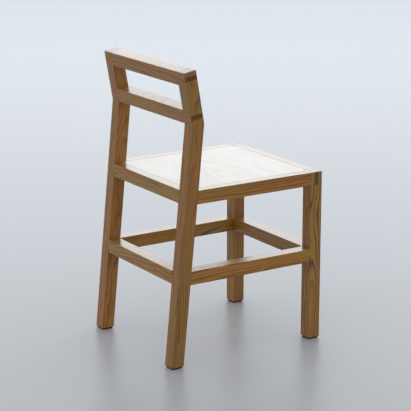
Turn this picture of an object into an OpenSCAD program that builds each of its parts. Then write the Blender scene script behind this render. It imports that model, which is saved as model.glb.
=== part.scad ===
// A plain wooden chair with a low back, cut from one size of square softwood.
// It faces -Y and stands on z = 0, with the origin under the middle of its outline.
// Left and right are those of a person sitting in it, so left is +X.

/* [Overall] */
// Width across the legs
chair_w = 396; // [340:1:480]
// Depth on the floor, from the front of the front legs to the back of the rear feet
base_d = 460; // [400:1:560]
// Height of the top of the seat above the floor
seat_h = 458; // [400:1:520]
// Height above the floor of the bend in the rear legs
bend_h = 624; // [560:1:700]
// Height of the back frame above the bend, measured up its slope
back_frame_h = 133.5; // [110:0.5:400]
// Lean of the rear legs in degrees, forward as they rise
leg_rake = 5.7; // [0:0.1:9]
// Lean of the back frame in degrees, backward as it rises
back_tilt = 10; // [0:0.5:20]

/* [Timber] */
// Side of the square stock of the legs, posts, rails and stretchers
stock = 35; // [28:0.5:45]
// Height above the floor of the tops of the stretchers
stretcher_h = 251; // [150:1:350]

/* [Seat panel] */
// Thickness of the panel, which is the depth of its rebate
panel_t = 12; // [6:0.5:18]
// Width of the ledge in each rail that carries the panel
ledge_w = 8; // [4:0.5:9]
// Clearance round the edge of the panel
panel_gap = 0.4; // [0.2:0.1:1]

/* [Joints] */
// Shoulder above and below each stub tenon
tenon_shoulder = 5; // [2:0.5:8]
// Space past the end of each stub tenon
tenon_end_gap = 1; // [0.5:0.5:3]
// Clearance on each side of a tenon
joint_gap = 0.1; // [0.05:0.05:0.3]

/* [Feet] */
// Thickness of the pad under each leg
pad_t = 4; // [2:0.5:10]
// Distance of the pad's edge inside the leg's face
pad_inset = 2; // [1:0.5:5]
// Radius of the pad's upright corners
pad_r = 3; // [1:0.5:6]

/* [Hidden] */

// Colours
leg_wood = "#a9784a";
rail_wood = "#b58450";
end_wood = "#8a5c34";
panel_wood = "#eee6d6";
pad_rubber = "#2b2320";

// How far a cutting block runs past the face that it cuts
past = 1;
// A joint is laid out in thirds of the stock
third = stock / 3;
tenon_len = third - tenon_end_gap;

// Widths, from the middle plane x = 0
outer_x = chair_w / 2;
inner_x = outer_x - stock;
leg_mid_x = outer_x - stock / 2;

// The rear leg's depth on a level cut, and how far its back face moves between two heights
raked_depth = stock / cos(leg_rake);
function rake_run(z_low, z_high) = (z_high - z_low) * tan(leg_rake);

// The outline's middle is at y = 0, whichever of the feet and the top reaches further back
bend_run = base_d - rake_run(pad_t, bend_h);
outline_d = max(base_d, bend_run + back_frame_h * sin(back_tilt));
front_y = -outline_d / 2;
foot_y = front_y + base_d;
front_leg_back_y = front_y + stock;
front_leg_mid_y = front_y + stock / 2;
function leg_back_y(z) = foot_y - rake_run(pad_t, z);
function leg_front_y(z) = leg_back_y(z) - raked_depth;

// The back frame, as [y, z] points: up its slope from the bend, and forward through the stock
bend = [front_y + bend_run, bend_h];
frame_up = [sin(back_tilt), cos(back_tilt)];
frame_fwd = [-cos(back_tilt), sin(back_tilt)];
leg_fwd = [-cos(leg_rake), -sin(leg_rake)];
bend_front = bend + stock * (leg_fwd + frame_fwd) / (1 + leg_fwd * frame_fwd);
function frame_pt(up, fwd) = bend + up * frame_up + fwd * frame_fwd;
function frame_band(low, high) = [
    frame_pt(low, 0), frame_pt(high, 0), frame_pt(high, stock), frame_pt(low, stock)
];

// Heights of the level members
seat_under_z = seat_h - stock;
ledge_z = seat_h - panel_t;
seat_mid_z = seat_h - stock / 2;
stretcher_under_z = stretcher_h - stock;
stretcher_mid_z = stretcher_h - stock / 2;

// The plumb rear members are flush with the raked leg at half their height
rear_rail_back_y = leg_back_y(seat_mid_z);
rear_stretcher_back_y = leg_back_y(stretcher_mid_z);

// ---- Building blocks ----

// A block from one corner to the opposite one
module block(low, high) {
    translate(low) cube(high - low);
}

// A [y, z] outline carried across from one x to another
module across(points, x_low, x_high) {
    translate([x_low, 0, 0])
        rotate([90, 0, 90])
            linear_extrude(x_high - x_low)
                polygon(points);
}

// The left-hand piece, turned over for the right-hand side
module right_hand() {
    mirror([1, 0, 0]) children();
}

// A stub tenon that runs along X from x_low to x_high, or its mortise with grow > 0
module tenon_x(x_low, x_high, mid_y, under_z, grow) {
    half = third / 2 + grow;
    low_z = under_z + tenon_shoulder - grow;
    high_z = under_z + stock - tenon_shoulder + grow;
    block([x_low, mid_y - half, low_z], [x_high, mid_y + half, high_z]);
}

// A stub tenon in the left leg that runs along Y from y_low to y_high, or its mortise
module tenon_y(y_low, y_high, under_z, grow) {
    half = third / 2 + grow;
    low_z = under_z + tenon_shoulder - grow;
    high_z = under_z + stock - tenon_shoulder + grow;
    block([leg_mid_x - half, y_low, low_z], [leg_mid_x + half, y_high, high_z]);
}

// Mortises in the left legs: in the inner face, in the front leg's back and the rear leg's front
module inner_mortise(mid_y, under_z) {
    tenon_x(inner_x - past, inner_x + third, mid_y, under_z, joint_gap);
}

module front_leg_mortise(under_z) {
    tenon_y(front_leg_back_y - third, front_leg_back_y + past, under_z, joint_gap);
}

module rear_leg_mortise(under_z) {
    face_y = leg_front_y(under_z + stock / 2);
    tenon_y(face_y - third, face_y + third, under_z, joint_gap);
}

// ---- Legs and back ----

// Front leg, with an open slot across its top for the front rail's tongue
module front_leg() {
    slot_low_y = front_y + third - joint_gap;
    slot_high_y = front_y + 2 * third + joint_gap;
    color(leg_wood) difference() {
        block([inner_x, front_y, pad_t], [outer_x, front_leg_back_y, seat_h]);
        block([inner_x - past, slot_low_y, seat_under_z], [outer_x + past, slot_high_y, seat_h + past]);
        front_leg_mortise(seat_under_z);
        front_leg_mortise(stretcher_under_z);
        inner_mortise(front_leg_mid_y, stretcher_under_z);
    }
}

// Rear leg, sawn with a bend, up to the underside of the lower back rail's tongue
module rear_leg() {
    profile = [
        [foot_y, pad_t], bend, frame_pt(third, 0),
        frame_pt(third, stock), bend_front, [foot_y - raked_depth, pad_t]
    ];
    color(leg_wood) difference() {
        across(profile, inner_x, outer_x);
        rear_leg_mortise(seat_under_z);
        rear_leg_mortise(stretcher_under_z);
        inner_mortise(rear_rail_back_y - stock / 2, seat_under_z);
        inner_mortise(rear_stretcher_back_y - stock / 2, stretcher_under_z);
    }
}

// Back post, between the two rails' tongues
module back_post() {
    color(leg_wood) across(frame_band(2 * third, back_frame_h - 2 * third), inner_x, outer_x);
}

// Cap block, on top of the top rail's tongue
module post_cap() {
    color(leg_wood) across(frame_band(back_frame_h - third, back_frame_h), inner_x, outer_x);
}

// A rail of the back frame, with a tongue a third of its height out to each side
module back_rail(low) {
    color(rail_wood) across(frame_band(low, low + stock), -inner_x, inner_x);
    color(end_wood) across(frame_band(low + third, low + 2 * third), -outer_x, outer_x);
}

module top_rail() {
    back_rail(back_frame_h - stock);
}

module lower_back_rail() {
    back_rail(0);
}

// ---- Seat frame ----

// Front rail, with a full-height tongue through each front leg and a ledge for the panel
module seat_front_rail() {
    color(rail_wood) difference() {
        block([-inner_x, front_y, seat_under_z], [inner_x, front_leg_back_y, seat_h]);
        block([-inner_x - past, front_leg_back_y - ledge_w, ledge_z],
              [inner_x + past, front_leg_back_y + past, seat_h + past]);
    }
    color(end_wood)
        block([-outer_x, front_y + third, seat_under_z], [outer_x, front_y + 2 * third, seat_h]);
}

// Rear rail, with stub tenons and a ledge for the panel
module seat_rear_rail() {
    front_face_y = rear_rail_back_y - stock;
    end_x = inner_x + tenon_len;
    color(rail_wood) difference() {
        block([-inner_x, front_face_y, seat_under_z], [inner_x, rear_rail_back_y, seat_h]);
        block([-inner_x - past, front_face_y - past, ledge_z],
              [inner_x + past, front_face_y + ledge_w, seat_h + past]);
    }
    color(end_wood) tenon_x(-end_x, end_x, rear_rail_back_y - stock / 2, seat_under_z, 0);
}

// A level member between the left legs, its back end cut to the rear leg's rake
module side_member(under_z) {
    top_z = under_z + stock;
    profile = [
        [front_leg_back_y, under_z], [leg_front_y(under_z), under_z],
        [leg_front_y(top_z), top_z], [front_leg_back_y, top_z]
    ];
    back_end_y = leg_front_y(under_z + stock / 2) + tenon_len;
    color(rail_wood) across(profile, inner_x, outer_x);
    color(end_wood) tenon_y(front_leg_back_y - tenon_len, back_end_y, under_z, 0);
}

// Side rail, with a ledge for the panel
module seat_side_rail() {
    difference() {
        side_member(seat_under_z);
        block([inner_x - past, front_leg_back_y - past, ledge_z],
              [inner_x + ledge_w, leg_front_y(seat_under_z) + past, seat_h + past]);
    }
}

// Panel, let in flush with the rails and notched round the four legs
module seat_panel() {
    edge_x = inner_x + ledge_w - panel_gap;
    notch_x = inner_x - panel_gap;
    front_edge_y = front_leg_back_y - ledge_w + panel_gap;
    front_notch_y = front_leg_back_y + panel_gap;
    back_edge_y = rear_rail_back_y - stock + ledge_w - panel_gap;
    back_notch_y = leg_front_y(seat_h) - panel_gap;
    left_half = [
        [notch_x, front_edge_y], [notch_x, front_notch_y], [edge_x, front_notch_y],
        [edge_x, back_notch_y], [notch_x, back_notch_y], [notch_x, back_edge_y]
    ];
    right_half = [for (i = [5:-1:0]) [-left_half[i][0], left_half[i][1]]];
    color(panel_wood)
        translate([0, 0, ledge_z])
            linear_extrude(panel_t)
                polygon(concat(left_half, right_half));
}

// ---- Stretchers ----

// A stretcher across the chair, with stub tenons, its back face at back_y
module cross_stretcher(back_y) {
    end_x = inner_x + tenon_len;
    color(rail_wood)
        block([-inner_x, back_y - stock, stretcher_under_z], [inner_x, back_y, stretcher_h]);
    color(end_wood) tenon_x(-end_x, end_x, back_y - stock / 2, stretcher_under_z, 0);
}

module front_stretcher() {
    cross_stretcher(front_leg_back_y);
}

module rear_stretcher() {
    cross_stretcher(rear_stretcher_back_y);
}

module side_stretcher() {
    side_member(stretcher_under_z);
}

// ---- Feet ----

// A flat square pad with rounded corners, under a foot of the given depth at the left side
module foot_pad(foot_front_y, foot_depth) {
    low = [inner_x + pad_inset, foot_front_y + pad_inset];
    high = [outer_x - pad_inset, foot_front_y + foot_depth - pad_inset];
    color(pad_rubber) {
        block([low[0] + pad_r, low[1], 0], [high[0] - pad_r, high[1], pad_t]);
        block([low[0], low[1] + pad_r, 0], [high[0], high[1] - pad_r, pad_t]);
        for (x = [low[0] + pad_r, high[0] - pad_r])
            for (y = [low[1] + pad_r, high[1] - pad_r])
                translate([x, y, 0]) cylinder(r = pad_r, h = pad_t, $fn = 48);
    }
}

module front_foot_pad() {
    foot_pad(front_y, stock);
}

module rear_foot_pad() {
    foot_pad(foot_y - raked_depth, raked_depth);
}

// ---- The pieces ----

front_leg();  // front_leg_left
right_hand() front_leg();  // front_leg_right
rear_leg();  // rear_leg_left
right_hand() rear_leg();  // rear_leg_right
back_post();  // back_post_left
right_hand() back_post();  // back_post_right
post_cap();  // post_cap_left
right_hand() post_cap();  // post_cap_right
top_rail();
lower_back_rail();
seat_front_rail();
seat_rear_rail();
seat_side_rail();  // seat_side_rail_left
right_hand() seat_side_rail();  // seat_side_rail_right
front_stretcher();
rear_stretcher();
side_stretcher();  // side_stretcher_left
right_hand() side_stretcher();  // side_stretcher_right
seat_panel();
front_foot_pad();  // foot_pad_front_left
right_hand() front_foot_pad();  // foot_pad_front_right
rear_foot_pad();  // foot_pad_rear_left
right_hand() rear_foot_pad();  // foot_pad_rear_right
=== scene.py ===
"""A plain pine chair: eased and grained copies of its timbers, a pale panel and dark foot pads."""
import math
import random

import bmesh
import bpy
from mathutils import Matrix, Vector
from mathutils.bvhtree import BVHTree


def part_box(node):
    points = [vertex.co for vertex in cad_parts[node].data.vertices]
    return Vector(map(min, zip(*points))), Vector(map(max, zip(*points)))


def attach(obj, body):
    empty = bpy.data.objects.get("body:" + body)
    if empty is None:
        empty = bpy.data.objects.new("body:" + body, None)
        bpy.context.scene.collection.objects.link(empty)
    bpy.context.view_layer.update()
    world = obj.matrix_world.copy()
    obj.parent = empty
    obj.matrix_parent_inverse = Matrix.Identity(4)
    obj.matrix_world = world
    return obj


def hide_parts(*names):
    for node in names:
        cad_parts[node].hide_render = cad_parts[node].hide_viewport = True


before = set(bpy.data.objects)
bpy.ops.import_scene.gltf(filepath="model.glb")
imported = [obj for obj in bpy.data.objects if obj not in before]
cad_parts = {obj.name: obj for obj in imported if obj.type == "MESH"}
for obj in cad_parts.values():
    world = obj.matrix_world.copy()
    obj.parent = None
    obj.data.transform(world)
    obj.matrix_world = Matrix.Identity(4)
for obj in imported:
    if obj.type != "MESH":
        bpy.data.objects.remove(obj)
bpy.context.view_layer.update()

MM = 0.001
AXES = (Vector((1, 0, 0)), Vector((0, 1, 0)), Vector((0, 0, 1)))

# ---- The chair's nodes ----

SIDES = ("left", "right")
LEG_TIMBERS = [
    f"{part}_{side}" for part in ("front_leg", "rear_leg", "back_post", "post_cap") for side in SIDES
]
RAIL_TIMBERS = [
    "top_rail", "lower_back_rail",
    "seat_front_rail", "seat_rear_rail", "seat_side_rail_left", "seat_side_rail_right",
    "front_stretcher", "rear_stretcher", "side_stretcher_left", "side_stretcher_right",
]
PADS = [f"foot_pad_{end}_{side}" for end in ("front", "rear") for side in SIDES]
# A cap block is too short to show which way its grain runs, so it follows its post
GRAIN_LIKE = {f"post_cap_{side}": f"back_post_{side}" for side in SIDES}

# ---- Cleaning and easing the CAD meshes ----

# Vertices this near are one, and so are faces this near to one plane
WELD_REACH = 0.002 * MM
FLAT_ANGLE = math.radians(0.5)

# The arrises: eased on free edges, barely broken along a glued seam, sharp where hidden
TIMBER_ARRIS = 0.9 * MM
PANEL_ARRIS = 0.5 * MM
PAD_ARRIS = 0.6 * MM
ARRIS_STEPS = 2
FREE_SHARE = 1.0
SEAM_SHARE = 0.22
HIDDEN_SHARE = 0.0
SHARP_ANGLE = math.radians(20)
# Nodes this near are neighbours, a surface this near is a seam, and a point this far out is probed
NEIGHBOUR_REACH = 1 * MM
SEAM_REACH = 0.15 * MM
PROBE = 0.5 * MM

# ---- Grain ----

# Each timber's place in its tree: how far up the trunk, in metres, and how far from the pith
SEED = 68
TRUNK_SPAN = (1, 9)
PITH_SPAN = (28 * MM, 95 * MM)
# A face counts as end grain where it points this nearly along the grain
END_GRAIN_COS = 0.8

# The trunk's bends: features a metre along and across the grain, and their share of the wander
BENDS = ((2.4, 9, 1.0), (13, 45, 0.16))
TRUNK_TAPER = 0.012
RING_UNEVENNESS = 1.1
# How dark a ring is from its spring edge at 0 to its autumn edge at 1
RING_PROFILE = [(0, 0.02), (0.3, 0.06), (0.58, 0.4), (0.8, 1), (0.95, 0.95), (1, 0.02)]

PINE_RINGS_PER_M = 145.0
PINE_WANDER = 0.065
VENEER_RINGS_PER_M = 85.0
VENEER_WANDER = 0.10

# ---- Colours: linear, and for wood the early wood and then the late wood ----

LEG_PINE = ((0.445, 0.226, 0.048), (0.190, 0.056, 0.010))
LEG_END_DARKNESS = 0.45
RAIL_PINE = ((0.455, 0.248, 0.047), (0.205, 0.064, 0.010))
RAIL_END_DARKNESS = 0.4
END_GREEN, END_BLUE = 0.80, 0.62
GREENISH, REDDISH = (0.94, 1.0, 0.92), (1.08, 0.88, 0.78)
VENEER = ((0.81, 0.755, 0.675), (0.69, 0.62, 0.52))
VENEER_CLOUD = (0.94, 0.91, 0.86)
RUBBER = (0.010, 0.008, 0.007)
RUBBER_DUST = (0.035, 0.029, 0.025)
FLOOR_GREY = (0.51, 0.51, 0.52)

# ---- Stage, in metres, watts and degrees ----

FLOOR_REACH = 30
SKY_COLOUR = (0.93, 0.96, 1)
SKY_STRENGTH = 0.7
BACKDROP_COLOUR = (0.74, 0.75, 0.77)

# The camera matched to the photograph
CAMERA_PLACE = Vector((-3.420, 2.187, 1.448))
CAMERA_AZIMUTH = 237.44
CAMERA_ELEVATION = 15.09
CAMERA_LENS = 139.4
CAMERA_REACH = 60

# One soft window straight across the chair from the camera, which the rails' tops mirror
WINDOW_AZIMUTH = CAMERA_AZIMUTH - 180
WINDOW_ELEVATION = 22
WINDOW_DISTANCE = 7.0
WINDOW_SIZE = (11.0, 5.0)
WINDOW_POWER = 345
WINDOW_COLOUR = (0.86, 0.94, 1.0)
WINDOW_AIM = Vector((0, 0, 0.4))

# Where a Mix node set to RGBA keeps its colour sockets
MIX_A, MIX_B, MIX_RESULT = 6, 7, 2


# ---- Node materials ----

class Shader:
    """A material under construction: each method adds one node and returns its output."""

    def __init__(self, name):
        self.material = bpy.data.materials.new(name)
        self.material.use_nodes = True
        self.tree = self.material.node_tree
        self.surface = self.tree.nodes["Principled BSDF"]

    def add(self, kind, **settings):
        node = self.tree.nodes.new(kind)
        for key, value in settings.items():
            setattr(node, key, value)
        return node

    def feed(self, socket, value):
        """Links an output to a socket, or writes a number or colour on it. None leaves it alone."""
        if isinstance(value, bpy.types.NodeSocket):
            self.tree.links.new(value, socket)
        elif value is not None:
            socket.default_value = value

    def attribute(self, name, output):
        return self.add("ShaderNodeAttribute", attribute_name=name).outputs[output]

    def math(self, operation, a, b=None, clamp=False):
        node = self.add("ShaderNodeMath", operation=operation, use_clamp=clamp)
        self.feed(node.inputs[0], a)
        self.feed(node.inputs[1], b)
        return node.outputs[0]

    def vector(self, operation, a, b=None):
        node = self.add("ShaderNodeVectorMath", operation=operation)
        self.feed(node.inputs[0], a)
        self.feed(node.inputs[1], b)
        return node.outputs["Value" if operation == "LENGTH" else "Vector"]

    def noise(self, place, along, across, detail=2.0, roughness=0.5, output="Fac"):
        """Noise with this many features a metre along the grain and across it."""
        node = self.add("ShaderNodeTexNoise", noise_dimensions="3D")
        self.feed(node.inputs["Vector"], self.vector("MULTIPLY", place, (along, across, across)))
        self.feed(node.inputs["Scale"], 1.0)
        self.feed(node.inputs["Detail"], detail)
        self.feed(node.inputs["Roughness"], roughness)
        return node.outputs[output]

    def spread(self, value, low, high, to_low=0.0, to_high=1.0):
        """Eases a value between low and high onto the range from to_low to to_high."""
        node = self.add("ShaderNodeMapRange", interpolation_type="SMOOTHSTEP")
        for socket, item in zip(node.inputs, (value, low, high, to_low, to_high)):
            self.feed(socket, item)
        return node.outputs[0]

    def ramp(self, value, stops):
        """A grey for a value, from stops that each give a place and its grey."""
        node = self.add("ShaderNodeValToRGB")
        self.feed(node.inputs[0], value)
        ends = node.color_ramp.elements
        while len(ends) < len(stops):
            ends.new(0.5)
        for element, (place, grey) in zip(ends, stops):
            element.position = place
            element.color = (grey, grey, grey, 1)
        return node.outputs["Color"]

    def mix(self, share, a, b, blend="MIX"):
        node = self.add("ShaderNodeMix", data_type="RGBA", blend_type=blend)
        self.feed(node.inputs[0], share)
        self.feed(node.inputs[MIX_A], opaque(a))
        self.feed(node.inputs[MIX_B], opaque(b))
        return node.outputs[MIX_RESULT]

    def tinted(self, tone, tint):
        return self.mix(1.0, tone, tint, "MULTIPLY")

    def darkened(self, tone, value, low, high, darkest):
        """A tone that falls to darkest of itself where the value falls from high to low."""
        return self.tinted(tone, self.ramp(value, [(low, darkest), (high, 1)]))

    def bump(self, height, strength, distance):
        node = self.add("ShaderNodeBump")
        self.feed(node.inputs["Height"], height)
        self.feed(node.inputs["Strength"], strength)
        self.feed(node.inputs["Distance"], distance)
        self.feed(self.surface.inputs["Normal"], node.outputs[0])

    def set(self, **values):
        """Feeds the surface's sockets, each named with _ for a space, and returns the material."""
        for key, value in values.items():
            self.feed(self.surface.inputs[key.replace("_", " ")], value)
        return self.material


def opaque(value):
    """A plain colour with its alpha added. Anything else is passed through."""
    return (*value, 1) if isinstance(value, tuple) else value


def growth_rings(shader, rings_per_m, wander):
    """The tree's rings round its pith: their profile, each ring's own weight, the wood's place."""
    place = shader.attribute("wood", "Vector")
    bent = place
    for along, across, share in BENDS:
        reach = wander * share
        drift = shader.noise(place, along, across, detail=1.0, output="Color")
        drift = shader.vector("SUBTRACT", drift, (0.5, 0.5, 0.5))
        bent = shader.vector("ADD", bent, shader.vector("MULTIPLY", drift, (0, reach, reach)))
    radius = shader.vector("LENGTH", shader.vector("MULTIPLY", bent, (0, 1, 1)))
    taper = shader.vector("LENGTH", shader.vector("MULTIPLY", bent, (TRUNK_TAPER, 0, 0)))
    count = shader.math("MULTIPLY", shader.math("ADD", radius, taper), rings_per_m)
    swell = shader.noise(place, along=0.8, across=60, detail=1.0)
    count = shader.math("ADD", count, shader.math("MULTIPLY", swell, RING_UNEVENNESS))
    phase = shader.math("FRACT", count)
    weight = shader.add("ShaderNodeTexWhiteNoise", noise_dimensions="1D")
    shader.feed(weight.inputs["W"], shader.math("FLOOR", count))
    return shader.ramp(phase, RING_PROFILE), weight.outputs["Value"], place


def pine(name, early, late, darkness=None):
    """Clear-finished pine with rings, fibres and resin streaks. A darkness makes it end grain."""
    shader = Shader(name)
    ring, weight, place = growth_rings(shader, PINE_RINGS_PER_M, PINE_WANDER)
    strength = shader.spread(weight, low=0.0, high=1.0, to_low=0.5, to_high=1.1)
    ring = shader.math("MULTIPLY", ring, strength)
    patch = shader.noise(place, along=3.0, across=22)
    strength = shader.spread(patch, low=0.3, high=0.7, to_low=0.5, to_high=1.15)
    ring = shader.math("MULTIPLY", ring, strength, clamp=True)
    tone = shader.mix(ring, early, late)

    fibre = shader.noise(place, along=28, across=1100, detail=3.0, roughness=0.6)
    tone = shader.darkened(tone, fibre, low=0.3, high=0.7, darkest=0.86)
    streak = shader.noise(place, along=7, across=330)
    tone = shader.mix(shader.spread(streak, low=0.56, high=0.74, to_high=0.5), tone, late)
    hue = shader.noise(place, along=1.6, across=24, roughness=0.6)
    tone = shader.tinted(tone, shader.mix(shader.spread(hue, low=0.36, high=0.64), GREENISH, REDDISH))
    light = shader.noise(place, along=0.9, across=12, detail=1.0)
    tone = shader.darkened(tone, light, low=0.35, high=0.65, darkest=0.86)
    if darkness is not None:
        tone = shader.tinted(tone, (darkness, darkness * END_GREEN, darkness * END_BLUE))

    shader.bump(shader.math("ADD", fibre, ring), strength=0.25, distance=0.08 * MM)
    gloss = shader.spread(fibre, low=0.3, high=0.7, to_low=0.25, to_high=0.34)
    shader.set(Coat_Weight=0.6, Coat_IOR=1.25, Coat_Roughness=0.3)
    return shader.set(Base_Color=tone, Roughness=gloss, IOR=1.4)


def pale_veneer():
    """Whitened veneer: faint wide rings, soft clouds and fine fibres on a cream ground."""
    shader = Shader("pale_veneer")
    ring, weight, place = growth_rings(shader, VENEER_RINGS_PER_M, VENEER_WANDER)
    strength = shader.spread(weight, low=0.0, high=1.0, to_low=0.15, to_high=0.75)
    tone = shader.mix(shader.math("MULTIPLY", ring, strength), *VENEER)
    fibre = shader.noise(place, along=22, across=800, detail=3.0, roughness=0.6)
    tone = shader.darkened(tone, fibre, low=0.3, high=0.7, darkest=0.93)
    cloud = shader.noise(place, along=14, across=48, detail=3.0, roughness=0.6)
    tone = shader.mix(shader.spread(cloud, low=0.35, high=0.65), tone, VENEER_CLOUD, "MULTIPLY")
    shader.bump(fibre, strength=0.2, distance=0.05 * MM)
    gloss = shader.spread(fibre, low=0.3, high=0.7, to_low=0.32, to_high=0.42)
    return shader.set(Base_Color=tone, Roughness=gloss)


def pad_rubber():
    """Dark matt rubber with a fine grain and a little dust."""
    shader = Shader("pad_rubber")
    place = shader.attribute("wood", "Vector")
    grain = shader.noise(place, along=900, across=900, detail=3.0, roughness=0.6)
    dust = shader.noise(place, along=60, across=60, detail=3.0)
    dusty = shader.spread(dust, low=0.45, high=0.75, to_high=0.45)
    tone = shader.mix(dusty, RUBBER, RUBBER_DUST)
    shader.bump(grain, strength=0.5, distance=0.12 * MM)
    gloss = shader.spread(grain, low=0.3, high=0.7, to_low=0.68, to_high=0.86)
    return shader.set(Base_Color=tone, Roughness=gloss, Specular_IOR_Level=0.2)


# ---- Meshes ----

def longest_edge(face):
    return max(face.edges, key=lambda edge: edge.calc_length())


def close_hairlines(mesh):
    """Closes each face that has length but no width, by welding its far vertex to its longest edge.

    It takes no more turns than the mesh has faces, so that no odd mesh can keep it going.
    """
    for _ in range(len(mesh.faces)):
        hairline = next((
            face for face in mesh.faces
            if face.calc_area() < WELD_REACH * longest_edge(face).calc_length()
        ), None)
        if hairline is None:
            return
        edge = longest_edge(hairline)
        start = edge.verts[0]
        far = next(vert for vert in hairline.verts if vert not in edge.verts)
        along = (far.co - start.co).length / edge.calc_length()
        split = bmesh.utils.edge_split(edge, start, along)[1]
        bmesh.ops.weld_verts(mesh, targetmap={split: far})


def welded(node):
    """A CAD node's mesh as a bmesh: split vertices joined, hairline faces closed, flat faces whole."""
    mesh = bmesh.new()
    mesh.from_mesh(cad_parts[node].data)
    bmesh.ops.remove_doubles(mesh, verts=mesh.verts, dist=WELD_REACH)
    close_hairlines(mesh)
    bmesh.ops.dissolve_limit(mesh, angle_limit=FLAT_ANGLE, verts=mesh.verts, edges=mesh.edges)
    bmesh.ops.recalc_face_normals(mesh, faces=mesh.faces)
    return mesh


def neighbour_tree(node):
    """The surface of every other CAD node that is near enough to touch this one."""
    low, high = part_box(node)
    verts, faces = [], []
    for other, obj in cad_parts.items():
        o_low, o_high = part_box(other)
        apart = any(
            o_low[i] > high[i] + NEIGHBOUR_REACH or o_high[i] < low[i] - NEIGHBOUR_REACH
            for i in range(3)
        )
        if other == node or apart:
            continue
        start = len(verts)
        verts.extend(v.co.copy() for v in obj.data.vertices)
        faces.extend([start + i for i in p.vertices] for p in obj.data.polygons)
    return BVHTree.FromPolygons(verts, faces)


def edge_share(edge, others):
    """How much of the arris an edge gets: all if free, a little along a seam, none otherwise."""
    if len(edge.link_faces) != 2 or edge.calc_face_angle(0) < SHARP_ANGLE or not edge.is_convex:
        return HIDDEN_SHARE
    middle = (edge.verts[0].co + edge.verts[1].co) / 2
    outward = (edge.link_faces[0].normal + edge.link_faces[1].normal).normalized()
    probe = middle + outward * PROBE
    near, normal, _, _ = others.find_nearest(probe)
    if (probe - near).dot(normal) < 0:
        return HIDDEN_SHARE
    _, _, _, gap = others.find_nearest(middle)
    return SEAM_SHARE if gap < SEAM_REACH else FREE_SHARE


def eased(node, width):
    """A copy of a CAD node's mesh with its arrises eased."""
    mesh = welded(node)
    others = neighbour_tree(node)
    shares = [edge_share(edge, others) for edge in mesh.edges]
    data = bpy.data.meshes.new(node + "_eased")
    mesh.to_mesh(data)
    mesh.free()
    layer = data.attributes.new("bevel_weight_edge", "FLOAT", "EDGE")
    layer.data.foreach_set("value", shares)
    rough = bpy.data.objects.new(node + "_rough", data)
    bpy.context.scene.collection.objects.link(rough)
    bevel = rough.modifiers.new("ease", "BEVEL")
    bevel.limit_method = "WEIGHT"
    bevel.width = width
    bevel.segments = ARRIS_STEPS
    graph = bpy.context.evaluated_depsgraph_get()
    final = bpy.data.meshes.new_from_object(rough.evaluated_get(graph))
    bpy.data.objects.remove(rough)
    return final


def grain_axis(node):
    """The way the grain runs: along the timber's longest edge."""
    mesh = welded(node)
    longest = max(mesh.edges, key=lambda edge: edge.calc_length())
    along = (longest.verts[1].co - longest.verts[0].co).normalized()
    mesh.free()
    return along if max(along, key=abs) > 0 else -along


def lay_grain(mesh, along, shift):
    """Stores each vertex's place in the wood: along the grain, then two ways across it."""
    side = min(AXES, key=lambda axis: abs(axis.dot(along)))
    across = (side - along * side.dot(along)).normalized()
    depth = along.cross(across)
    middle = sum((v.co for v in mesh.vertices), Vector()) / len(mesh.vertices)
    layer = mesh.attributes.new("wood", "FLOAT_VECTOR", "POINT")
    for vertex, item in zip(mesh.vertices, layer.data):
        place = vertex.co - middle
        item.vector = Vector((place.dot(along), place.dot(across), place.dot(depth))) + shift


def pith_shift(draw):
    """A timber's place in its tree: how far up the trunk, and where from the pith."""
    angle = draw.uniform(0, math.tau)
    reach = draw.uniform(*PITH_SPAN)
    return Vector((draw.uniform(*TRUNK_SPAN), reach * math.cos(angle), reach * math.sin(angle)))


def add_piece(name, mesh, node, materials):
    piece = bpy.data.objects.new(name, mesh)
    bpy.context.scene.collection.objects.link(piece)
    mesh.materials.clear()
    for material in materials:
        mesh.materials.append(material)
    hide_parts(node)
    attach(piece, "root")


def add_timber(node, materials, draw):
    """One timber. The second of its two materials goes on its end grain."""
    mesh = eased(node, TIMBER_ARRIS)
    along = grain_axis(GRAIN_LIKE.get(node, node))
    lay_grain(mesh, along, pith_shift(draw))
    add_piece(node + "_timber", mesh, node, materials)
    for face in mesh.polygons:
        face.material_index = int(abs(face.normal.dot(along)) > END_GRAIN_COS)


def add_panel(draw):
    mesh = eased("seat_panel", PANEL_ARRIS)
    lay_grain(mesh, AXES[0], pith_shift(draw))
    add_piece("seat_panel_board", mesh, "seat_panel", [pale_veneer()])


def add_pad(node, material):
    mesh = eased(node, PAD_ARRIS)
    lay_grain(mesh, AXES[2], Vector())
    add_piece(node + "_rubber", mesh, node, [material])


def add_chair():
    draw = random.Random(SEED)
    leg_woods = [pine("leg_pine", *LEG_PINE), pine("leg_end_grain", *LEG_PINE, LEG_END_DARKNESS)]
    rail_woods = [pine("rail_pine", *RAIL_PINE), pine("rail_end_grain", *RAIL_PINE, RAIL_END_DARKNESS)]
    for node in LEG_TIMBERS:
        add_timber(node, leg_woods, draw)
    for node in RAIL_TIMBERS:
        add_timber(node, rail_woods, draw)
    add_panel(draw)
    rubber = pad_rubber()
    for node in PADS:
        add_pad(node, rubber)


# ---- Stage ----

def toward(azimuth, elevation):
    """The direction from the chair to a viewer at this azimuth and elevation, in degrees."""
    a, e = math.radians(azimuth), math.radians(elevation)
    return Vector((math.sin(a) * math.cos(e), -math.cos(a) * math.cos(e), math.sin(e)))


def face_along(obj, direction):
    """Turns a camera or lamp to face along a direction, level from side to side."""
    obj.rotation_euler = direction.to_track_quat("-Z", "Y").to_euler()


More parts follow.
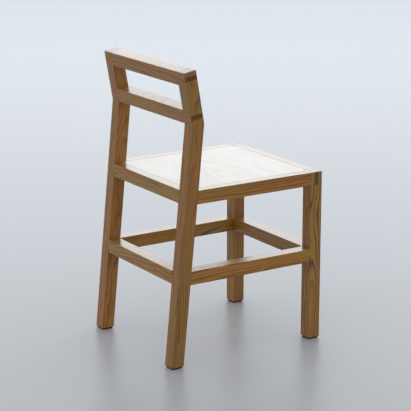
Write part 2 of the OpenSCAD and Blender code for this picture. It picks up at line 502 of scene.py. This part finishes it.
def add_camera():
    camera = bpy.data.objects.new("camera", bpy.data.cameras.new("camera"))
    bpy.context.scene.collection.objects.link(camera)
    camera.data.lens = CAMERA_LENS
    camera.data.clip_end = CAMERA_REACH
    camera.location = CAMERA_PLACE
    face_along(camera, -toward(CAMERA_AZIMUTH, CAMERA_ELEVATION))
    bpy.context.scene.camera = camera


def add_window():
    lamp = bpy.data.objects.new("low_window", bpy.data.lights.new("low_window", "AREA"))
    bpy.context.scene.collection.objects.link(lamp)
    lamp.data.shape = "RECTANGLE"
    lamp.data.size, lamp.data.size_y = WINDOW_SIZE
    lamp.data.energy = WINDOW_POWER
    lamp.data.color = WINDOW_COLOUR
    lamp.location = WINDOW_AIM + toward(WINDOW_AZIMUTH, WINDOW_ELEVATION) * WINDOW_DISTANCE
    face_along(lamp, WINDOW_AIM - lamp.location)


def add_floor():
    mesh = bpy.data.meshes.new("floor")
    shape = bmesh.new()
    bmesh.ops.create_grid(shape, x_segments=1, y_segments=1, size=FLOOR_REACH)
    shape.to_mesh(mesh)
    shape.free()
    floor = bpy.data.objects.new("floor", mesh)
    bpy.context.scene.collection.objects.link(floor)
    shader = Shader("floor_grey")
    shader.set(Base_Color=opaque(FLOOR_GREY), Roughness=0.34, Specular_IOR_Level=0.1)
    mesh.materials.append(shader.material)


def add_world():
    """An even sky, which the camera itself sees as a plain pale backdrop."""
    world = bpy.data.worlds.new("studio")
    bpy.context.scene.world = world
    world.use_nodes = True
    tree = world.node_tree
    sky = tree.nodes["Background"]
    sky.inputs["Color"].default_value = opaque(SKY_COLOUR)
    sky.inputs["Strength"].default_value = SKY_STRENGTH
    backdrop = tree.nodes.new("ShaderNodeBackground")
    backdrop.inputs["Color"].default_value = opaque(BACKDROP_COLOUR)
    path = tree.nodes.new("ShaderNodeLightPath")
    mix = tree.nodes.new("ShaderNodeMixShader")
    tree.links.new(path.outputs["Is Camera Ray"], mix.inputs[0])
    tree.links.new(sky.outputs[0], mix.inputs[1])
    tree.links.new(backdrop.outputs[0], mix.inputs[2])
    tree.links.new(mix.outputs[0], tree.nodes["World Output"].inputs["Surface"])


bpy.context.scene.view_settings.view_transform = "Standard"
add_camera()
add_world()
add_window()
add_floor()
add_chair()
